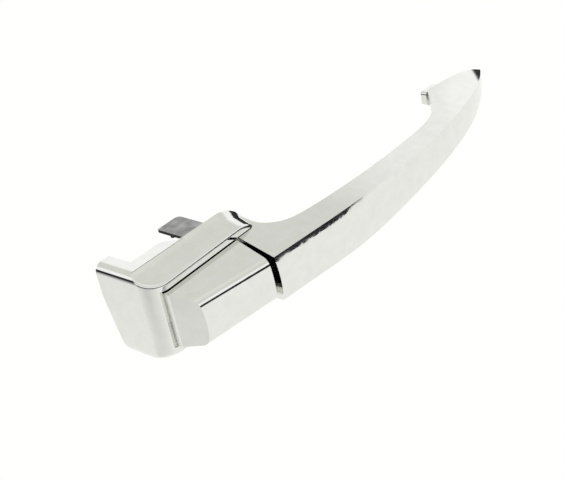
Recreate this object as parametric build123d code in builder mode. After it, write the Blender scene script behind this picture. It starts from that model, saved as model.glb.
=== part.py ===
# Chrome pull handle for a car door: a fixed casting pair (escutcheon and grip) and a trigger
# that rocks on an upright pin in the grip's neck. Squeezing the finger pad behind the grip,
# or pressing the block, swings the steel tongue that reaches the latch inside the door.
#
# Frame: X runs forward along the handle, +Y points into the door, +Z is up.
# Y = 0 is the door skin, Z = 0 the mid-height, X = 0 the middle of the base's front land.
from build123d import *
import math
import os

os.makedirs("parts", exist_ok=True)

# ---- Overall sizes (mm) ----
overall_length = 220.5
base_length = 63.5
base_height = 37.6
standoff = 34.4  # door skin to the upper edge of the grip's outer face

# ---- Clearances ----
seam = 0.25  # neck in the base's opening
block_gap = 1.0  # dark line round the trigger block
end_gap = 1.35  # block to the grip's rear end, beside the rim
end_gap_outer = 2.1  # the same gap at the outer face
running = 0.05  # pin in the bushes
snug = 0.02  # pin, insert and screws in their holes
swing = 0.5  # moving piece to a fixed wall beside it
rest_gap = 0.3  # trigger to its rubber stops

# ---- Base ----
land_width = 5.0
flange_rise = 3.0
flange_corner = 16.0
rear_corner = 3.5
rim_rear = 13.5  # door skin to the rim, at the rear
rim_front = 11.4  # door skin to the rim, at the rounded front end
rim_half = 15.0  # half height over the rim's crest
rim_round = 1.3
crease_half = 17.42  # half height where the flange's side turns into the body's
crease_round = 12.0
body_corner = 8.0
rim_width = 4.0  # rear wall's outer face to the opening
floor_thickness = 2.5
wall_thickness = 7.8
wall_reach = 17.8
wall_flat = 13.0
wall_low_reach = 12.4
wall_low_corner = 8.0
skirt_reach = 5.6
skirt_length = 22.0
skirt_ramp = 8.0

# ---- Grip ----
neck_length = 11.0
neck_share = 0.965  # outer edge of the neck, as a share of the standoff
neck_rear_share = 0.93
neck_half = 9.5  # half height at the outer edge of the neck
root_half = 13.5  # half height of the neck carried down to the door skin
crown_radius = 35.0
edge_round = 1.6
end_lean = 3.6  # the grip's rear end leans back towards its outer edge
tip_radius = 6.0
skin = 1.8  # metal left between the finger channel and the outer face
channel_half = 8.0
channel_slot = 1.2  # finger pad to the ends of its slot
bow_floor = 0.965
pocket_half = 4.2
hollow_half = 10.2
hollow_depth = 14.5
hollow_length = 6.3
cheek_back = 2.0
cheek_reach = 8.6

# ---- Hook ----
hook_slot = 3.2
hook_thickness = 3.0
hook_stem = 3.8
hook_length = 9.0
hook_low = 0.4
hook_height = 6.6
hook_setback = 27.5

# ---- Trigger block ----
block_inner = 9.5
block_outer_rear = 28.2
block_outer_front = 31.7
block_half = 9.3
block_draft = 0.156
facet_start = 16.0
facet_width = 4.2
block_round = 3.6
block_wall = 2.0
post_radius = 3.0
post_inset = 11.0

block_screw_length = 7.0
notch_half = 10.1
notch_depth = 13.8

# ---- Pivot ----
pivot_inset = 2.2  # behind the visible rear face of the neck's root
pivot_depth = 6.5
pin_radius = 2.0
pin_groove = 0.4
clip_thickness = 0.7
clip_radius = 3.8
bush_wall = 1.0
bush_flange = 0.7
bush_flange_radius = 4.0
spring_wire = 1.0
spring_radius = 3.35
spring_turns = 6.25

# ---- Trigger lever and tongue ----
sheet = 1.5
strap_half = 5.0
ear_half = 7.7
web_offset = 4.4  # pin axis to the web's near face
pad_half = 7.4
pad_proud = 0.4
pad_thickness = 2.4
pad_round = 0.6
pad_rivet_shares = (0.2, 0.8)
tongue_thickness = 1.3
tongue_width = 11.9
tongue_reach = 29.6
tongue_neck_width = 10.9
tongue_back = 7.95
tongue_corner = 2.2
tongue_tab_y = 21.5
tongue_tab = 1.4
tail_inset = 6.0
bend_inset = 2.0
ear_back = 8.0
ear_front = 3.4
ear_depth = 7.4

# ---- Fasteners and stops ----
screw_radius = 1.5
screw_head = 2.7
screw_length = 10.0
screw_side = 7.6
cross_width = 0.7
cross_depth = 1.1
block_screw_radius = 1.25
block_screw_head = 2.2
block_screw_height = 1.4
washer_radius = 2.8
washer_thickness = 0.5
rivet_radius = 1.1
rivet_head = 2.0
rivet_height = 0.8
rivet_depth = 1.2
tongue_rivet_radius = 0.7
tongue_rivet_head = 1.2
tongue_rivet_height = 0.6
tongue_rivet_spacing = 2.8
insert_radius = 2.8
thread_radius = 2.1
insert_length = 9.0
buffer_radius = 2.6
stop_thickness = 1.1
stop_length = 3.2
press_height = 5.3

# ---- Places worked out from the sizes ----
base_front_x = land_width / 2
rear_x = base_front_x - base_length
tip_x = rear_x + overall_length
neck_front_x = -land_width / 2 - seam
neck_rear_x = neck_front_x - neck_length
bow = tip_x - neck_front_x
half_height = base_height / 2
opening_rear_x = rear_x + rim_width
root_slope = (root_half - neck_half) / (standoff * neck_share)
pivot_x = neck_rear_x + pivot_inset
pivot_y = -pivot_depth
hollow_front_x = neck_rear_x + hollow_length
screw_x = (hollow_front_x + neck_front_x) / 2
block_rear_x = opening_rear_x + block_gap
web_y = pivot_y - web_offset
web_back_y = web_y - sheet
insert_z = half_height - wall_flat / 2


def bow_point(share, depth):
    """A point of the bow: share of the way from the neck to the tip, share of the standoff."""
    return (neck_front_x + share * bow, -depth * standoff)


# Inner line of the bow, from the neck round the finger space to the foot's rear face.
inner_line = [
    bow_point(0.0, 0.22),
    bow_point(0.012, 0.41),
    bow_point(0.043, 0.545),
    bow_point(0.11, 0.63),
    bow_point(0.25, 0.662),
    bow_point(0.40, 0.625),
    bow_point(0.53, 0.557),
    bow_point(0.635, 0.46),
    bow_point(0.68, 0.365),
    bow_point(0.722, 0.19),
    bow_point(0.762, 0.0),
]

# Sections of the grip: share along the bow, outer edge as a share of the standoff,
# half height at the outer edge, half height carried down to the door skin.
sections = [
    (-0.11, neck_rear_share, neck_half, root_half),
    (-0.05, (neck_rear_share + neck_share) / 2, neck_half, root_half),
    (0.02, neck_share, neck_half, root_half),
    (0.165, 1.0, 9.5, 13.8),
    (0.35, 0.953, 8.5, 13.2),
    (0.535, 0.837, 7.2, 11.6),
    (0.72, 0.637, 6.3, 10.4),
    (0.843, 0.43, 5.2, 9.1),
    (0.923, 0.24, 3.8, 7.2),
    (1.004, -0.02, 2.6, 5.0),
]


def grip_section(share, depth, outer_half, door_half):
    """Closed outline of the grip across the bow, drafted and crowned."""
    x, y = bow_point(share, depth)
    slope = (door_half - outer_half) / max(-y, standoff * 0.2)
    inner_y = 4.0
    inner_half = outer_half + slope * (inner_y - y)
    crown = outer_half**2 / (2 * crown_radius)
    with BuildSketch(Plane.YZ.offset(x)) as outline:
        with BuildLine():
            Line((inner_y, -inner_half), (inner_y, inner_half))
            Line((inner_y, inner_half), (y, outer_half))
            ThreePointArc((y, outer_half), (y - crown, 0), (y, -outer_half))
            Line((y, -outer_half), (inner_y, -inner_half))
        make_face()
        fillet(outline.vertices().group_by(Axis.Y)[0], min(edge_round, outer_half / 3))
    return outline.sketch


def draft_prism(half_at_skin, slope, near, reach, x_low, x_high):
    """Prism along X whose half height falls with the distance from the door skin."""
    with BuildPart() as prism:
        with BuildSketch(Plane.YZ.offset(x_low)):
            with BuildLine():
                Polyline(
                    (-near, half_at_skin - slope * near),
                    (-reach, half_at_skin - slope * reach),
                    (-reach, slope * reach - half_at_skin),
                    (-near, slope * near - half_at_skin),
                    close=True,
                )
            make_face()
        extrude(amount=x_high - x_low)
    return prism.part


def turned(profile, rounding=0.0):
    """Solid of revolution about Z from points (radius, height), its top edge rounded."""
    with BuildPart() as piece:
        with BuildSketch(Plane.XZ):
            with BuildLine():
                Polyline(*profile, close=True)
            make_face()
        revolve(axis=Axis.Z)
        if rounding:
            fillet(piece.edges().filter_by(GeomType.CIRCLE).sort_by(Axis.Z)[-1], rounding)
    return piece.part


def cross_screw(profile, head, rounding=0.0):
    """Turned screw, head up, with a cross recess cut in its head."""
    with BuildPart() as piece:
        add(turned(profile, rounding))
        top = piece.part.bounding_box().max.Z
        for size in ((1.5 * head, cross_width), (cross_width, 1.5 * head)):
            with Locations((0, 0, top)):
                Box(*size, 2 * cross_depth, mode=Mode.SUBTRACT)
    return piece.part


def facing(x, y, z, direction):
    """Plane at a point, its normal along the direction."""
    return Plane(origin=(x, y, z), z_dir=direction)


# ---- Base: flange, drafted body with the rim, rear wall that wraps the door's edge ----
flange_taper = math.degrees(math.atan((half_height - crease_half) / flange_rise))
body_taper = math.degrees(math.atan((crease_half - rim_half) / (rim_rear - flange_rise)))

with BuildPart() as base_escutcheon:
    with BuildSketch(Plane.XZ):
        with Locations(((rear_x + base_front_x) / 2 - rear_corner, 0)):
            plate = Rectangle(base_length + 2 * rear_corner, base_height)
        fillet(plate.vertices().group_by(Axis.X)[-1], flange_corner)
    extrude(amount=flange_rise, taper=flange_taper)
    crease = base_escutcheon.faces().sort_by(Axis.Y)[0]
    extrude(crease, amount=rim_rear - flange_rise, taper=body_taper)
    sides = base_escutcheon.edges().group_by(Axis.Y)[2].filter_by(lambda e: e.center().X > rear_x - rear_corner)
    fillet(sides, crease_round)
    # Side view: the rim falls towards the front end.
    with BuildSketch(Plane.XY.offset(-half_height)):
        with BuildLine():
            Polyline(
                (rear_x, 0),
                (rear_x, -rim_rear),
                (base_front_x, -rim_front),
                (base_front_x, 0),
                close=True,
            )
        make_face()
    extrude(amount=base_height, mode=Mode.INTERSECT)
    crest = base_escutcheon.faces().sort_by(Axis.Y)[0].edges()
    fillet(crest.filter_by(Axis.Z).sort_by(Axis.X)[0], body_corner)
    crest = base_escutcheon.faces().filter_by(GeomType.PLANE).sort_by(Axis.Y)[0].edges()
    fillet(crest.sort_by(Axis.X)[1:], rim_round)
    # Rear wall and skirt, behind the door skin's rolled edge.
    with BuildSketch(Plane.XY.offset(-half_height)):
        with BuildLine():
            ramp_x = rear_x + skirt_length
            Polyline(
                (ramp_x + skirt_ramp, 0),
                (ramp_x + skirt_ramp, -0.5),
                (rear_x, -0.5),
                (rear_x, wall_reach),
                (rear_x + wall_thickness, wall_reach),
                (rear_x + wall_thickness, skirt_reach),
                (ramp_x, skirt_reach),
            )
            Spline(
                (ramp_x, skirt_reach),
                (ramp_x + skirt_ramp, 0),
                tangents=((1, 0), (1, 0)),
            )
        make_face()
    extrude(amount=base_height)
    # Outline seen from outside: square to the door's edge, with rounded rear corners.
    with BuildSketch(Plane.XZ.offset(-wall_reach)):
        with Locations(((rear_x + base_front_x) / 2, 0)):
            outline = Rectangle(base_length, base_height)
        fillet(outline.vertices().group_by(Axis.X)[0], rear_corner)
    extrude(amount=wall_reach + rim_rear + 1, mode=Mode.INTERSECT)
    # Side view of the rear: the door-side edge leans in and turns a large low corner.
    with BuildSketch(Plane.YZ.offset(rear_x)) as side_view:
        with BuildLine():
            Polyline(
                (-rim_rear - 1, half_height),
                (wall_reach, half_height),
                (wall_reach, half_height - wall_flat),
                (wall_low_reach, -half_height),
                (-rim_rear - 1, -half_height),
                close=True,
            )
        make_face()
        fillet(side_view.vertices().sort_by(Axis.X)[2:].sort_by(Axis.Y)[0], wall_low_corner)
    extrude(amount=base_length, mode=Mode.INTERSECT)
    # Opening for the block and the neck, over a floor that carries the neck's front wall.
    opening_half = root_half + seam
    opening_reach = standoff / 2
    opening_front_x = neck_front_x + seam
    add(
        draft_prism(opening_half, root_slope, -0.01, opening_reach, opening_rear_x, hollow_front_x),
        mode=Mode.SUBTRACT,
    )
    add(
        draft_prism(
            opening_half, root_slope, floor_thickness, opening_reach, hollow_front_x, opening_front_x
        ),
        mode=Mode.SUBTRACT,
    )
    add(
        draft_prism(
            opening_half, root_slope, flange_rise, opening_reach, opening_front_x, base_front_x
        ),
        mode=Mode.SUBTRACT,
    )
    with BuildSketch(Plane.XZ.offset(-skirt_reach)):
        with Locations(((rear_x + wall_thickness + hollow_front_x) / 2, 0)):
            Rectangle(hollow_front_x - rear_x - wall_thickness, 2 * opening_half)
    extrude(amount=skirt_reach, mode=Mode.SUBTRACT)
    # Countersunk holes for the grip's screws, and the bore for the threaded insert.
    for side in (screw_side, -screw_side):
        with Locations(Plane(origin=(screw_x, 0, side), z_dir=(0, 1, 0))):
            CounterSinkHole(screw_radius + swing / 2, screw_head + snug, floor_thickness)
    with Locations(Plane(origin=(rear_x + wall_thickness / 2, wall_reach, insert_z), z_dir=(0, 1, 0))):
        Hole(insert_radius + snug, insert_length + 2)

base_escutcheon.part.label = "base_escutcheon"
export_step(base_escutcheon.part, "parts/base_escutcheon.step")

# ---- Threaded insert for the door screw, flush with the end of the rear wall ----
with BuildPart() as threaded_insert:
    with BuildSketch(Plane(origin=(rear_x + wall_thickness / 2, wall_reach, insert_z), z_dir=(0, -1, 0))):
        Circle(insert_radius)
        Circle(thread_radius, mode=Mode.SUBTRACT)
    extrude(amount=insert_length)

threaded_insert.part.label = "threaded_insert"
export_step(threaded_insert.part, "parts/threaded_insert.step")

# ---- Line of the lever's strap: web behind the block, then through the neck to the pad ----
pad_line = [
    bow_point(0.036, 0.53),
    bow_point(0.11, 0.63),
    bow_point(0.20, 0.655),
    bow_point(0.285, 0.655),
]
seat_line = [(x, y - pad_thickness) for x, y in (pad_line[0], pad_line[1], pad_line[3])]
tail_x = block_rear_x + tail_inset
bend_x = hollow_front_x - bend_inset
strap_line = [(tail_x, web_y), (bend_x, web_y), *seat_line]
arm_slope = (seat_line[0][1] - web_y) / (seat_line[0][0] - bend_x)
arm_run = (1 + arm_slope**2) ** 0.5


def stop_wall_y(x, clearance=stop_thickness + rest_gap):
    """End of the neck's front wall, parallel to the strap's slanted stretch."""
    return web_y + arm_slope * (x - bend_x) + clearance * arm_run


# ---- Grip: neck, bow and foot in one casting, cored from the back, with the front hook ----
slot_rear_x = pad_line[0][0] - channel_slot
slot_front_x = pad_line[-1][0] + channel_slot

with BuildPart() as grip:
    loft([grip_section(*section) for section in sections])
    with BuildSketch(Plane.XY.offset(-half_height)):
        with BuildLine():
            Polyline(
                inner_line[-1],
                (tip_x + 1, 0),
                (tip_x + 1, -standoff - 4),
                (neck_rear_x - end_lean, -standoff - 4),
                (neck_rear_x, -block_inner),
                (neck_rear_x, -cheek_reach),
                (neck_rear_x - cheek_back, -cheek_reach),
                (neck_rear_x - cheek_back, -floor_thickness),
                (neck_front_x, -floor_thickness),
                inner_line[0],
            )
            Spline(*inner_line)
        make_face()
    extrude(amount=base_height, mode=Mode.INTERSECT)
    # Rounded end of the foot, seen square to the door.
    with BuildSketch(Plane.XZ.offset(-1)):
        with Locations((tip_x - tip_radius, 0)):
            Circle(tip_radius)
            Rectangle(overall_length, base_height, align=(Align.MAX, Align.CENTER))
    extrude(amount=standoff + 6, mode=Mode.INTERSECT)
    # Hollow of the neck, open to the block, and the finger channel beyond it.
    with BuildSketch(Plane.XY.offset(-hollow_half)):
        with Locations((hollow_front_x, 0)):
            Rectangle(2 * hollow_length, hollow_depth, align=(Align.MAX, Align.MAX))
    extrude(amount=2 * hollow_half, mode=Mode.SUBTRACT)
    with BuildSketch(Plane.XY.offset(-channel_half)):
        with BuildLine():
            Polyline(
                (hollow_front_x, stop_wall_y(hollow_front_x)),
                (slot_rear_x, stop_wall_y(slot_rear_x)),
                (slot_rear_x, -cheek_reach),
                (slot_front_x, -cheek_reach),
                (slot_front_x, -bow_floor * standoff + skin),
                (neck_front_x, -neck_share * standoff + skin),
                (pivot_x, -neck_share * standoff + 2 * skin),
                (pivot_x, -hollow_depth),
                (hollow_front_x, -hollow_depth),
                close=True,
            )
        make_face()
    extrude(amount=2 * channel_half, mode=Mode.SUBTRACT)
    # Lightening pocket in the back of the bow.
    with BuildSketch(Plane.XY.offset(-pocket_half)):
        with BuildLine():
            Polyline(
                bow_point(0.34, 0.3),
                bow_point(0.62, 0.3),
                bow_point(0.62, 0.65),
                bow_point(0.48, 0.785),
                bow_point(0.34, 0.86),
                close=True,
            )
        make_face()
    extrude(amount=2 * pocket_half, mode=Mode.SUBTRACT)
    # Bores for the pivot pin in the cheeks, and blind holes for the screws.
    with Locations((pivot_x, pivot_y, 0)):
        Cylinder(pin_radius + snug, base_height, mode=Mode.SUBTRACT)
    for side in (screw_side, -screw_side):
        with BuildSketch(Plane.XZ.offset(floor_thickness)):
            with Locations((screw_x, side)):
                Circle(screw_radius + snug)
        extrude(amount=screw_length - floor_thickness + swing, mode=Mode.SUBTRACT)
    # Hook that slips behind the door skin.
    with BuildSketch(Plane.XY.offset(hook_low)):
        with Locations((tip_x - hook_setback, -0.5)):
            Rectangle(hook_stem, hook_slot + hook_thickness + 0.5, align=(Align.MAX, Align.MIN))
        with Locations((tip_x - hook_setback, hook_slot)):
            Rectangle(hook_length, hook_thickness, align=(Align.MAX, Align.MIN))
    extrude(amount=hook_height)
    hook_tip = grip.edges().filter_by(Axis.Y).group_by(Axis.Y)[-1].sort_by(Axis.X)[:2]
    fillet(hook_tip, hook_height / 5)

grip.part.label = "grip"
export_step(grip.part, "parts/grip.step")

# ---- Screws that hold the grip on the base, put in from the door side ----
with BuildPart() as grip_screws:
    countersunk = [
        (0, 0),
        (screw_head, 0),
        (screw_radius, screw_radius - screw_head),
        (screw_radius, -screw_length),
        (0, -screw_length),
    ]
    with Locations(*[facing(screw_x, 0, side, (0, 1, 0)) for side in (screw_side, -screw_side)]):
        add(cross_screw(countersunk, screw_head))

grip_screws.part.label = "grip_screws"
export_step(grip_screws.part, "parts/grip_screws.step")

# ---- Pivot pin across the neck, with a groove for its clip ----
pin_half = root_half - root_slope * pivot_depth - rest_gap
clip_top = -hollow_half + rest_gap / 2 + clip_thickness

with BuildPart() as pivot_pin:
    with Locations((pivot_x, pivot_y, 0)):
        Cylinder(pin_radius, 2 * pin_half)
    with BuildSketch(Plane.XY.offset(clip_top + snug)):
        with Locations((pivot_x, pivot_y)):
            Circle(pin_radius + 1)
            Circle(pin_radius - pin_groove, mode=Mode.SUBTRACT)
    extrude(amount=-clip_thickness - 2 * snug, mode=Mode.SUBTRACT)
    chamfer(pivot_pin.edges().filter_by(GeomType.CIRCLE).group_by(Axis.Z)[0], pin_groove)
    chamfer(pivot_pin.edges().filter_by(GeomType.CIRCLE).group_by(Axis.Z)[-1], pin_groove)

pivot_pin.part.label = "pivot_pin"
export_step(pivot_pin.part, "parts/pivot_pin.step")

with BuildPart() as pin_clip:
    with BuildSketch(Plane.XY.offset(clip_top)):
        with Locations((pivot_x, pivot_y)):
            Circle(clip_radius)
            Circle(pin_radius - pin_groove + snug, mode=Mode.SUBTRACT)
            Rectangle(2 * clip_radius, 2 * (pin_radius - pin_groove), align=(Align.MAX, Align.CENTER),
                      mode=Mode.SUBTRACT)
    extrude(amount=-clip_thickness)

pin_clip.part.label = "pin_clip"
export_step(pin_clip.part, "parts/pin_clip.step")

# ---- Rubber stops: one for the squeezed trigger, one for the trigger at rest ----
press_x = seat_line[0][0] + buffer_radius

with BuildPart() as press_buffer:
    with BuildSketch(Plane.XZ.offset(neck_share * standoff - skin)):
        with Locations((press_x, 0)):
            Circle(buffer_radius)
    extrude(amount=-press_height)
    fillet(press_buffer.edges().group_by(Axis.Y)[-1], buffer_radius / 4)

press_buffer.part.label = "press_buffer"
export_step(press_buffer.part, "parts/press_buffer.step")

with BuildPart() as rest_buffer:
    with BuildSketch(Plane.XY.offset(-strap_half + 1)):
        with BuildLine():
            stop_low_x = hollow_front_x + swing
            stop_high_x = stop_low_x + stop_length
            shift = stop_thickness / arm_run
            Polyline(
                (stop_low_x, stop_wall_y(stop_low_x)),
                (stop_high_x, stop_wall_y(stop_high_x)),
                (stop_high_x + arm_slope * shift, stop_wall_y(stop_high_x) - shift),
                (stop_low_x + arm_slope * shift, stop_wall_y(stop_low_x) - shift),
                close=True,
            )
        make_face()
    extrude(amount=2 * strap_half - 2)

rest_buffer.part.label = "rest_buffer"
export_step(rest_buffer.part, "parts/rest_buffer.step")

# ---- Trigger block: faceted chrome shell with two posts for its screws ----
post_places = (block_rear_x + post_inset, neck_rear_x - end_gap - post_inset)


def block_outline(inner_y):
    """Plan of the block: short rear wall, slanted facet, outer face and leaning front end."""
    return [
        (block_rear_x, inner_y),
        (block_rear_x, -facet_start),
        (block_rear_x + facet_width, -block_outer_rear),
        (neck_rear_x - end_gap_outer - end_lean * 0.72, -block_outer_front),
        (neck_rear_x - end_gap, -block_inner),
        (neck_rear_x - end_gap, inner_y),
    ]


block_skin_half = block_half + block_draft * block_outer_rear

with BuildPart() as trigger_block:
    with BuildSketch(Plane.XY.offset(-half_height)):
        with BuildLine():
            Polyline(*block_outline(-block_inner)[:5], close=True)
        make_face()
    extrude(amount=base_height)
    add(
        draft_prism(
            block_skin_half, block_draft, 0, block_outer_front + 1, block_rear_x, neck_rear_x
        ),
        mode=Mode.INTERSECT,
    )
    # Crown of the outer face, as on the grip.
    outer_rear, outer_front = [Vector(*point) for point in block_outline(0)[2:4]]
    outer_run = outer_front - outer_rear
    with BuildSketch(Plane(origin=outer_rear - outer_run, x_dir=(0, 0, 1), z_dir=outer_run)):
        with Locations((0, -crown_radius)):
            Circle(crown_radius)
    extrude(amount=3 * outer_run.length, mode=Mode.INTERSECT)
    outer_face = trigger_block.faces().filter_by(GeomType.CYLINDER).sort_by(Axis.Y)[0]
    fillet(outer_face.edges().filter_by(lambda e: abs(e.tangent_at(0.5).X) > 0.9), block_round)
    # Hollow, open towards the door.
    with BuildSketch(Plane.XY.offset(-half_height)):
        with BuildLine():
            Polyline(*block_outline(block_wall), close=True)
        make_face()
        offset(amount=-block_wall, kind=Kind.INTERSECTION, mode=Mode.REPLACE)
    cavity = extrude(amount=base_height, mode=Mode.PRIVATE)
    cavity_half = draft_prism(
        block_skin_half - block_wall,
        block_draft,
        0,
        block_outer_front + 1,
        block_rear_x,
        neck_rear_x,
    )
    add(cavity & cavity_half, mode=Mode.SUBTRACT)
    with BuildSketch(Plane.XY.offset(-notch_half)):
        with Locations((neck_rear_x, 0)):
            Rectangle(3 * block_wall + end_gap, notch_depth, align=(Align.MAX, Align.MAX))
    extrude(amount=2 * notch_half, mode=Mode.SUBTRACT)
    with BuildSketch(Plane.XZ.offset(-web_back_y)):
        with Locations(*[(x, 0) for x in post_places]):
            Circle(post_radius)
    extrude(until=Until.NEXT)
    with BuildSketch(Plane.XZ.offset(-web_back_y)):
        with Locations(*[(x, 0) for x in post_places]):
            Circle(block_screw_radius + snug)
    extrude(amount=block_screw_length, mode=Mode.SUBTRACT)

trigger_block.part.label = "trigger_block"
export_step(trigger_block.part, "parts/trigger_block.step")

# ---- Trigger lever: bent strap with two folded ears round the pin ----
ear_low_x = pivot_x - ear_back
ear_high_x = pivot_x + ear_front
tongue_rivet_x = ear_low_x + 1.6
tongue_rivet_places = [
    (tongue_rivet_x, web_y + 1.6),
    (tongue_rivet_x, web_y + 1.6 + tongue_rivet_spacing),
]
seat_run = Vector(*seat_line[2]) - Vector(*seat_line[1])
seat_normal = (-seat_run.Y, seat_run.X, 0)
pad_rivet_planes = []
for share in pad_rivet_shares:
    place = Vector(*seat_line[1]) + seat_run * share
    pad_rivet_planes.append(facing(place.X, place.Y, 0, seat_normal))

with BuildPart() as trigger_lever:
    with BuildSketch(Plane.XY.offset(-ear_half)):
        with BuildLine():
            strap = Polyline(*strap_line)
            offset(strap, amount=sheet, side=Side.RIGHT)
        make_face()
    extrude(amount=2 * ear_half)
    with BuildSketch(Plane.XZ.offset(-tongue_reach)):
        with Locations(((ear_low_x + ear_high_x) / 2, 0)):
            Rectangle(ear_high_x - ear_low_x, 2 * ear_half)
        with Locations(((tail_x + seat_line[-1][0]) / 2, 0)):
            Rectangle(2 * overall_length, 2 * strap_half)
    extrude(amount=tongue_reach + 2 * standoff, mode=Mode.INTERSECT)
    for level in (ear_half - sheet, -ear_half):
        with BuildSketch(Plane.XY.offset(level)):
            with Locations((ear_low_x, web_back_y)):
                Rectangle(ear_high_x - ear_low_x, ear_depth, align=(Align.MIN, Align.MIN))
            with Locations((pivot_x, pivot_y)):
                Circle(ear_front)
                Circle(pin_radius + running + bush_wall + snug, mode=Mode.SUBTRACT)
        extrude(amount=sheet)
    with BuildSketch(Plane.XZ.offset(-web_y)):
        with Locations(*[(x, 0) for x in post_places]):
            Circle(block_screw_radius + 0.15)
    extrude(amount=sheet, mode=Mode.SUBTRACT)
    with Locations(*[(x, y, 0) for x, y in tongue_rivet_places]):
        Cylinder(tongue_rivet_radius + snug, 2 * ear_half + 1, mode=Mode.SUBTRACT)
    for plane in pad_rivet_planes:
        with BuildSketch(plane):
            Circle(rivet_radius + snug)
        extrude(amount=-sheet, mode=Mode.SUBTRACT)

trigger_lever.part.label = "trigger_lever"
export_step(trigger_lever.part, "parts/trigger_lever.step")

# ---- Nylon bushes in the ears ----
with BuildPart() as pivot_bushes:
    bore = pin_radius + running
    flange_z = ear_half - sheet - bush_flange
    bush = [
        (bore, flange_z),
        (bush_flange_radius, flange_z),
        (bush_flange_radius, flange_z + bush_flange),
        (bore + bush_wall, flange_z + bush_flange),
        (bore + bush_wall, ear_half + tongue_thickness),
        (bore, ear_half + tongue_thickness),
    ]
    with Locations(*[facing(pivot_x, pivot_y, 0, (0, 0, way)) for way in (1, -1)]):
        add(turned(bush))

pivot_bushes.part.label = "pivot_bushes"
export_step(pivot_bushes.part, "parts/pivot_bushes.step")

# ---- Torsion return spring round the pin, one leg on the neck's wall, one on the web ----
spring_pitch = spring_wire * 1.15
spring_height = spring_turns * spring_pitch

with BuildPart() as return_spring:
    coil = Helix(spring_pitch, spring_height, spring_radius, mode=Mode.PRIVATE)
    coil = Location((pivot_x, pivot_y, -spring_height / 2), (0, 0, 90)) * coil
    with BuildSketch(Plane(origin=coil @ 0, z_dir=coil % 0)):
        Circle(spring_wire / 2)
    sweep(path=coil, is_frenet=True)
    with BuildSketch(Plane(origin=coil @ 0, z_dir=(1, 0, 0))):
        Circle(spring_wire / 2)
    extrude(amount=hollow_front_x - pivot_x)
    with BuildSketch(Plane(origin=coil @ 1, z_dir=(0, -1, 0))):
        Circle(spring_wire / 2)
    extrude(amount=web_offset)

return_spring.part.label = "return_spring"
export_step(return_spring.part, "parts/return_spring.step")

# ---- Release tongue on the upper ear, through the base and into the door ----
tongue_low_x = pivot_x - tongue_back

with BuildPart() as release_tongue:
    with BuildSketch(Plane.XY.offset(ear_half)):
        with Locations((tongue_low_x, web_back_y)):
            Rectangle(tongue_neck_width, -web_back_y + 1, align=(Align.MIN, Align.MIN))
        with Locations((tongue_low_x, 1)):
            blade = Rectangle(tongue_width, tongue_reach - 1, align=(Align.MIN, Align.MIN))
        with Locations((pivot_x, pivot_y)):
            Circle(pin_radius + running + bush_wall + swing / 2, mode=Mode.SUBTRACT)
            Rectangle(
                2 * ear_front,
                2 * (pin_radius + running + bush_wall + swing / 2),
                align=(Align.MIN, Align.CENTER),
                mode=Mode.SUBTRACT,
            )
    extrude(amount=tongue_thickness)
    far_corners = release_tongue.edges().filter_by(Axis.Z).group_by(Axis.Y)[-1]
    fillet(far_corners.sort_by(Axis.X)[-1], tongue_corner)
    fillet(far_corners.sort_by(Axis.X)[0], tongue_corner / 3)
    with BuildSketch(Plane.XY.offset(ear_half)):
        with Locations((tongue_low_x, tongue_tab_y)):
            Rectangle(tongue_tab, tongue_tab, align=(Align.MIN, Align.CENTER))
    extrude(amount=-tongue_tab / 2)
    with Locations(*[(x, y, ear_half) for x, y in tongue_rivet_places]):
        Cylinder(tongue_rivet_radius + snug, 2 * tongue_reach, mode=Mode.SUBTRACT)

release_tongue.part.label = "release_tongue"
export_step(release_tongue.part, "parts/release_tongue.step")

# ---- Finger pad in the mouth of the channel ----
with BuildPart() as finger_pad:
    with BuildSketch(Plane.XY.offset(-pad_half)):
        with BuildLine():
            Polyline(
                (pad_line[-1][0], pad_line[-1][1] + pad_proud),
                *reversed(seat_line),
                (pad_line[0][0], pad_line[0][1] + pad_proud),
            )
            Spline(*[(x, y + pad_proud) for x, y in pad_line])
        make_face()
    extrude(amount=2 * pad_half)
    for plane in pad_rivet_planes:
        with BuildSketch(plane):
            Circle(rivet_radius + snug)
        extrude(amount=rivet_depth, mode=Mode.SUBTRACT)
    pad_face = finger_pad.faces().sort_by(Axis.Y)[-1]
    fillet(pad_face.edges(), pad_round)

finger_pad.part.label = "finger_pad"
export_step(finger_pad.part, "parts/finger_pad.step")

# ---- Rivets that hold the pad on the strap ----
with BuildPart() as pad_rivets:
    pad_rivet = [
        (0, rivet_height),
        (rivet_head, rivet_height),
        (rivet_head, 0),
        (rivet_radius, 0),
        (rivet_radius, -sheet - rivet_depth + snug),
        (0, -sheet - rivet_depth + snug),
    ]
    for plane in pad_rivet_planes:
        back = plane.offset(-sheet)
        with Locations(facing(back.origin.X, back.origin.Y, 0, -plane.z_dir)):
            add(turned(pad_rivet, rivet_height / 2))

pad_rivets.part.label = "pad_rivets"
export_step(pad_rivets.part, "parts/pad_rivets.step")

# ---- Rivets that hold the tongue on the upper ear, headed on both sides ----
with BuildPart() as tongue_rivets:
    stack = sheet + tongue_thickness
    tongue_rivet = [
        (0, tongue_rivet_height),
        (tongue_rivet_head, tongue_rivet_height),
        (tongue_rivet_head, 0),
        (tongue_rivet_radius, 0),
        (tongue_rivet_radius, -stack),
        (tongue_rivet_head, -stack),
        (tongue_rivet_head, -stack - tongue_rivet_height),
        (0, -stack - tongue_rivet_height),
    ]
    top_z = ear_half + tongue_thickness
    with Locations(*[(x, y, top_z) for x, y in tongue_rivet_places]):
        add(turned(tongue_rivet, tongue_rivet_height / 2))

tongue_rivets.part.label = "tongue_rivets"
export_step(tongue_rivets.part, "parts/tongue_rivets.step")

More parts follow.
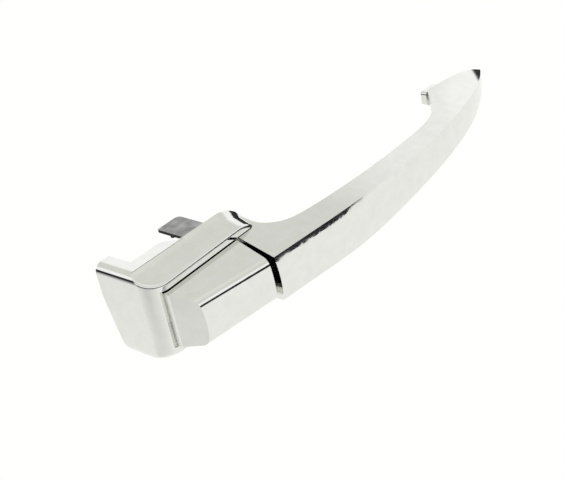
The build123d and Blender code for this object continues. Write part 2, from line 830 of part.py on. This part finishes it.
# ---- Washers and screws that hold the block on the lever's web ----
with BuildPart() as block_washers:
    with BuildSketch(Plane.XZ.offset(-web_y)):
        with Locations(*[(x, 0) for x in post_places]):
            Circle(washer_radius)
            Circle(block_screw_radius + 0.15, mode=Mode.SUBTRACT)
    extrude(amount=-washer_thickness)

block_washers.part.label = "block_washers"
export_step(block_washers.part, "parts/block_washers.step")

with BuildPart() as block_screws:
    reach = washer_thickness + sheet + block_screw_length - swing
    pan = [
        (0, block_screw_height),
        (block_screw_head, block_screw_height),
        (block_screw_head, 0),
        (block_screw_radius, 0),
        (block_screw_radius, -reach),
        (0, -reach),
    ]
    with Locations(*[facing(x, web_y + washer_thickness, 0, (0, 1, 0)) for x in post_places]):
        add(cross_screw(pan, block_screw_head, block_screw_height / 3))

block_screws.part.label = "block_screws"
export_step(block_screws.part, "parts/block_screws.step")
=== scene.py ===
# Chromed outside pull handle of a car door: an escutcheon that wraps the door's edge, a bowed
# grip, and a rocking trigger block that works a steel tongue inside the door.
import bpy
import math
from mathutils import Matrix, Vector


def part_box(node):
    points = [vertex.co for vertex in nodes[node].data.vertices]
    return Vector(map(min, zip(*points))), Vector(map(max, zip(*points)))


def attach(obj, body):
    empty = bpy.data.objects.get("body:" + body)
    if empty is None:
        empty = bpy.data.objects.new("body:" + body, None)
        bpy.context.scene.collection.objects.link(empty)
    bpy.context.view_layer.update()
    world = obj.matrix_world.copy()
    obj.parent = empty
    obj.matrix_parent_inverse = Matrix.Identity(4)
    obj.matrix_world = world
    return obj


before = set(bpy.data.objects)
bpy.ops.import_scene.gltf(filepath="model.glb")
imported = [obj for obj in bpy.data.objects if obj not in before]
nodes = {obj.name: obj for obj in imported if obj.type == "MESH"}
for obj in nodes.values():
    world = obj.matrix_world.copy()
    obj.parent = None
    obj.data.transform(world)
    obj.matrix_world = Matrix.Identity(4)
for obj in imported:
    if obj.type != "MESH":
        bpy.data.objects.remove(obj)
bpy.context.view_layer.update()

scene = bpy.context.scene

# ---- Camera: standing off the rear end, above the handle and looking down along it --------------
# A long lens from half a metre, so the near end is only a little larger than the far one.
eye = Vector((-0.337335, -0.400841, 0.282495))
level = Vector((0.65840, -0.72660, -0.19636)).normalized()
upward = Vector((0.47703, 0.20103, 0.85559)).normalized()
lens_data = bpy.data.cameras.new("studio_camera")
lens_data.lens = 95.86
lens_data.sensor_width = 36.0
lens_data.clip_start = 0.01
studio_camera = bpy.data.objects.new("studio_camera", lens_data)
turn = Matrix((level, upward, level.cross(upward))).transposed()
studio_camera.matrix_world = Matrix.Translation(eye) @ turn.to_4x4()
scene.collection.objects.link(studio_camera)
scene.camera = studio_camera
scene.view_settings.view_transform = "Standard"


# ---- Floor and sky of the studio ----------------------------------------------------------------
# White paper under the handle, with painted shade making it greyer towards the rear end and a faint
# painted glow,
# and a white tent round it: a bright band low down, a paler top, and the dark room showing between the
# tent and the paper, which gives the chrome its dark edges. Where the camera looks straight at the tent
# it sees even white.
def linear(code):
    """A colour code such as c8c9cb as linear red, green, blue and full alpha."""
    values = [int(code[i:i + 2], 16) / 255 for i in (0, 2, 4)]
    return [v / 12.92 if v <= 0.04045 else ((v + 0.055) / 1.055) ** 2.4 for v in values] + [1.0]


def place(tree, kind, settings=None, links=None, **attributes):
    """One node of a tree, with its attributes, its socket values and its incoming links."""
    node = tree.nodes.new(kind)
    for name, value in attributes.items():
        setattr(node, name, value)
    for name, value in (settings or {}).items():
        node.inputs[name].default_value = value
    for name, source in (links or {}).items():
        tree.links.new(source, node.inputs[name])
    return node


def ramp(tree, source, stops):
    """A colour ramp from stops of (position, colour code)."""
    node = place(tree, "ShaderNodeValToRGB", links={0: source})
    band = node.color_ramp
    while len(band.elements) < len(stops):
        band.elements.new(0.5)
    for element, (position, code) in zip(band.elements, stops):
        element.position = position
        element.color = linear(code)
    return node.outputs["Color"]


tent = bpy.data.worlds.new("white_tent")
tent.use_nodes = True
sky = tent.node_tree
sky.nodes.clear()
heading = place(sky, "ShaderNodeTexCoord").outputs["Generated"]
height = place(sky, "ShaderNodeSeparateXYZ", links={0: heading}).outputs["Z"]
share = place(sky, "ShaderNodeMapRange", {1: -1.0, 2: 1.0}, {0: height}).outputs[0]
cloth = ramp(sky, share, [(0.0, "f0f0ee"), (0.40, "f1f1ee"), (0.42, "262628"), (0.585, "353536"),
                          (0.615, "ffffff"), (0.74, "ffffff"), (0.80, "dcdcd8"), (0.90, "deded9"),
                          (1.0, "f6f6f3")])
direct = place(sky, "ShaderNodeLightPath").outputs["Is Camera Ray"]
seen = place(sky, "ShaderNodeMix", {"B": linear("f7f7f7")}, {"Factor": direct, "A": cloth},
             data_type="RGBA").outputs["Result"]
glow = place(sky, "ShaderNodeBackground", {"Strength": 1.12}, {"Color": seen})
place(sky, "ShaderNodeOutputWorld", links={"Surface": glow.outputs[0]})
scene.world = tent

paper = bpy.data.materials.new("white_paper")
paper.use_nodes = True
tree = paper.node_tree
tree.nodes.clear()
spread = place(tree, "ShaderNodeTexCoord").outputs["Object"]
forward = place(tree, "ShaderNodeSeparateXYZ", links={0: spread}).outputs["X"]
along = place(tree, "ShaderNodeMapRange", {1: -1.0, 2: 1.0}, {0: forward}).outputs[0]
# Painted shade: the floor's colour turns grey towards the rear end, and the same colour feeds a faint
# painted glow.
painted_shade_and_glow = ramp(tree, along, [(0.0, "aeafb2"), (0.12, "b9babc"), (0.22, "e8e8e7"), (0.36, "fefefe")])
face = place(tree, "ShaderNodeBsdfPrincipled",
             {"Roughness": 1.0, "Specular IOR Level": 0.0, "Emission Strength": 0.12},
             {"Base Color": painted_shade_and_glow, "Emission Color": painted_shade_and_glow})
place(tree, "ShaderNodeOutputMaterial", links={"Surface": face.outputs[0]})
paper_half = 1.7
paper_level = -0.3
corners = [(x * paper_half, y * paper_half, paper_level) for x, y in ((-1, -1), (1, -1), (1, 1), (-1, 1))]
sheet_mesh = bpy.data.meshes.new("paper_floor")
sheet_mesh.from_pydata(corners, [], [(0, 1, 2, 3)])
sheet_mesh.materials.append(paper)
paper_floor = bpy.data.objects.new("paper_floor", sheet_mesh)
scene.collection.objects.link(paper_floor)


# ---- Castings: escutcheon, grip and trigger block -----------------------------------------------
# Zinc die castings, ground and buffed by hand, then plated with copper, nickel and bright chrome.
# Buffing leaves slow waves and hair lines outside; the faces turned to the door are only tumbled.
def metal(name, colour, roughness, waves, hair, tint, dull=None, painted_edge_shade=None):
    """A plated metal: waves and hair are bump heights in mm, dull is the roughness of the faces
    turned to the door, and the last a near-black painted shade for faces turned neither up nor down, a
    strip's cut edges."""
    made = bpy.data.materials.new(name)
    made.use_nodes = True
    tree = made.node_tree
    tree.nodes.clear()
    spot = place(tree, "ShaderNodeTexCoord")
    slow = place(tree, "ShaderNodeTexNoise", {"Scale": 55.0, "Detail": 1.5, "Roughness": 0.4},
                 {"Vector": spot.outputs["Object"]})
    drawn = place(tree, "ShaderNodeMapping", {"Scale": (150.0, 2600.0, 2600.0)},
                  {"Vector": spot.outputs["Object"]})
    lines = place(tree, "ShaderNodeTexNoise", {"Scale": 1.0, "Detail": 3.0, "Roughness": 0.65},
                  {"Vector": drawn.outputs[0]})
    grime = place(tree, "ShaderNodeTexNoise", {"Scale": 210.0, "Detail": 5.0, "Roughness": 0.6},
                  {"Vector": spot.outputs["Object"]})
    wave_bump = place(tree, "ShaderNodeBump", {"Strength": 1.0, "Distance": waves / 1000},
                      {"Height": slow.outputs["Fac"]})
    hair_bump = place(tree, "ShaderNodeBump", {"Strength": 1.0, "Distance": hair / 1000},
                      {"Height": lines.outputs["Fac"], "Normal": wave_bump.outputs[0]})
    cloud = place(tree, "ShaderNodeMapRange", {1: 0.35, 2: 0.7, 3: roughness * 0.75, 4: roughness * 1.4},
                  {0: grime.outputs["Fac"]}).outputs[0]
    shade = ramp(tree, grime.outputs["Fac"], [(0.3, colour), (0.75, tint)])
    # Painted shade: faces turned neither up nor down, the cut edges of a strip, get a dark colour.
    if painted_edge_shade is not None:
        painted_edge_shade_mask = place(tree, "ShaderNodeSeparateXYZ", links={0: spot.outputs["Normal"]}).outputs["Z"]
        painted_edge_shade_mask = place(tree, "ShaderNodeMath", links={0: painted_edge_shade_mask}, operation="ABSOLUTE").outputs[0]
        shade = place(tree, "ShaderNodeMix", {"A": linear(painted_edge_shade)}, {"Factor": painted_edge_shade_mask, "B": shade},
                      data_type="RGBA").outputs["Result"]
    if dull is not None:
        side = place(tree, "ShaderNodeSeparateXYZ", links={0: spot.outputs["Normal"]}).outputs["Y"]
        back = place(tree, "ShaderNodeMapRange", {1: 0.55, 2: 0.8, 3: 0.0, 4: 1.0}, {0: side}).outputs[0]
        cloud = place(tree, "ShaderNodeMix", {"B": dull}, {"Factor": back, "A": cloud}).outputs[0]
    coat = place(tree, "ShaderNodeBsdfPrincipled", {"Metallic": 1.0},
                 {"Base Color": shade, "Roughness": cloud, "Normal": hair_bump.outputs[0]})
    place(tree, "ShaderNodeOutputMaterial", links={"Surface": coat.outputs[0]})
    return made


def dress(material, *names):
    """Gives CAD nodes their material."""
    for name in names:
        for holder in nodes[name].material_slots:
            holder.material = material


buffed_chrome = metal("buffed_chrome_on_zinc", "e7e8e5", 0.065, 0.03, 0.001, "e0e1dc", dull=0.33)
dress(buffed_chrome, "base_escutcheon", "grip", "trigger_block")

# ---- Finger pad behind the grip -----------------------------------------------------------------
# An injection moulding in plating-grade plastic with bright chrome, riveted to the lever's strap.
pad_chrome = metal("chrome_on_moulding", "dadbdc", 0.11, 0.05, 0.001, "d0d1d2")
dress(pad_chrome, "finger_pad")

# ---- Tongue that reaches the latch --------------------------------------------------------------
# Sheared steel strip with a dull plate, scored along its length by the die it was cut in.
# Its cut edges carry a near-black painted shade.
strip_steel = metal("dull_plated_strip", "a9aaa8", 0.42, 0.02, 0.006, "8d8e8c",
                    painted_edge_shade="2c2b2b")
dress(strip_steel, "release_tongue")

# ---- Trigger lever ------------------------------------------------------------------------------
# Folded from 1.5 mm sheet, zinc plated with a faint straw passivation.
zinc_sheet = metal("zinc_plated_sheet", "c9c5b6", 0.30, 0.03, 0.003, "b3ac95")
dress(zinc_sheet, "trigger_lever")

# ---- Screws and washers -------------------------------------------------------------------------
# Cold headed, cross recessed and zinc plated; the washers are stamped.
zinc_screws = metal("zinc_plated_fasteners", "cfccc2", 0.24, 0.01, 0.002, "b9b5a6")
dress(zinc_screws, "block_screws", "block_washers", "grip_screws")

# ---- Rivets, pin and clip -----------------------------------------------------------------------
# Bright turned steel for the pin and rivets; the clip is blanked from blued spring strip.
ground_steel = metal("ground_steel", "c6c7c9", 0.16, 0.0, 0.002, "b4b5b8")
dress(ground_steel, "pivot_pin", "pad_rivets", "tongue_rivets")
blued_strip = metal("blued_spring_strip", "6d7078", 0.28, 0.0, 0.002, "565a63")
dress(blued_strip, "pin_clip")

# ---- Threaded insert ----------------------------------------------------------------------------
# Free-cutting brass, turned and tapped M5, pressed into the end of the rear wall.
turned_brass = metal("turned_brass", "d3b173", 0.22, 0.0, 0.003, "b98f4e")
dress(turned_brass, "threaded_insert")


# ---- Bushes and rubber stops --------------------------------------------------------------------
# Natural nylon bushes snapped into the lever's ears, and black rubber stops glued in the neck.
def moulded(name, colour, tint, roughness, grain):
    """A moulded plastic or rubber with a fine grain, its height in mm."""
    made = bpy.data.materials.new(name)
    made.use_nodes = True
    tree = made.node_tree
    tree.nodes.clear()
    spot = place(tree, "ShaderNodeTexCoord")
    fine = place(tree, "ShaderNodeTexNoise", {"Scale": 1800.0, "Detail": 3.0},
                 {"Vector": spot.outputs["Object"]})
    blotch = place(tree, "ShaderNodeTexNoise", {"Scale": 260.0, "Detail": 4.0},
                   {"Vector": spot.outputs["Object"]})
    shade = ramp(tree, blotch.outputs["Fac"], [(0.3, colour), (0.75, tint)])
    bump = place(tree, "ShaderNodeBump", {"Strength": 1.0, "Distance": grain / 1000},
                 {"Height": fine.outputs["Fac"]})
    skin = place(tree, "ShaderNodeBsdfPrincipled", {"Roughness": roughness},
                 {"Base Color": shade, "Normal": bump.outputs[0]})
    place(tree, "ShaderNodeOutputMaterial", links={"Surface": skin.outputs[0]})
    return made


dress(moulded("natural_nylon", "e6e1d0", "d8d1bb", 0.42, 0.01), "pivot_bushes")
dress(moulded("black_rubber", "1d1d1e", "2a2a2a", 0.72, 0.03), "press_buffer", "rest_buffer")


# ---- Return spring ------------------------------------------------------------------------------
# Six turns of 1 mm music wire round the pin, wound on a mandrel; one leg stands on the neck's
# front wall and the other pushes the lever's web.
wire_steel = metal("oiled_music_wire", "8d8f93", 0.25, 0.0, 0.002, "6f7176")
dress(wire_steel, "return_spring")

# ---- Thread of the insert -----------------------------------------------------------------------
# The tapped M5 thread, a fine helical ridge inside the brass bore.
insert_low, insert_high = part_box("threaded_insert")


def inputs(tree, **sizes):
    """Declares a Geometry Nodes tree's output and its named size inputs."""
    tree.interface.new_socket("Geometry", in_out="OUTPUT", socket_type="NodeSocketGeometry")
    for name, value in sizes.items():
        kind = "NodeSocketInt" if isinstance(value, int) else "NodeSocketFloat"
        socket = tree.interface.new_socket(name, in_out="INPUT", socket_type=kind)
        socket.default_value = value
    return tree.nodes.new("NodeGroupInput").outputs


def grown(name, tree, material, body):
    """Runs a tree, keeps its result as a plain mesh piece, and lets it ride on a body."""
    seed = bpy.data.objects.new(name + "_seed", bpy.data.meshes.new(name + "_seed"))
    scene.collection.objects.link(seed)
    seed.modifiers.new("grow", "NODES").node_group = tree
    bpy.context.view_layer.update()
    mesh = bpy.data.meshes.new_from_object(seed.evaluated_get(bpy.context.evaluated_depsgraph_get()))
    bpy.data.objects.remove(seed)
    mesh.name = name
    if not mesh.materials:
        mesh.materials.append(material)
    piece = bpy.data.objects.new(name, mesh)
    scene.collection.objects.link(piece)
    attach(piece, body)
    return piece


thread = bpy.data.node_groups.new("tapped_thread", "GeometryNodeTree")
size = inputs(thread, Pitch=0.0008, Turns=10, Radius=0.00212, Ridge=0.00035)
rise = place(thread, "ShaderNodeMath", links={0: size["Pitch"], 1: size["Turns"]}, operation="MULTIPLY")
helix = place(thread, "GeometryNodeCurveSpiral", {"Resolution": 28},
              {"Rotations": size["Turns"], "Start Radius": size["Radius"], "End Radius": size["Radius"],
               "Height": rise.outputs[0]})
tooth = place(thread, "GeometryNodeCurvePrimitiveCircle", {"Resolution": 4}, {"Radius": size["Ridge"]})
cut = place(thread, "GeometryNodeCurveToMesh", {"Fill Caps": True},
            {"Curve": helix.outputs[0], "Profile Curve": tooth.outputs[0]})
centre = (insert_low + insert_high) / 2
thread_inset = 0.0003
stand = place(thread, "GeometryNodeTransform",
              {"Translation": (centre.x, insert_high.y - thread_inset, centre.z),
               "Rotation": (math.radians(90), 0, 0)}, {"Geometry": cut.outputs[0]})
real = place(thread, "GeometryNodeRealizeInstances", links={0: stand.outputs[0]})
done = place(thread, "GeometryNodeSetMaterial", {"Material": turned_brass}, {"Geometry": real.outputs[0]})
place(thread, "NodeGroupOutput", links={0: done.outputs[0]})
grown("insert_thread", thread, turned_brass, "handle")
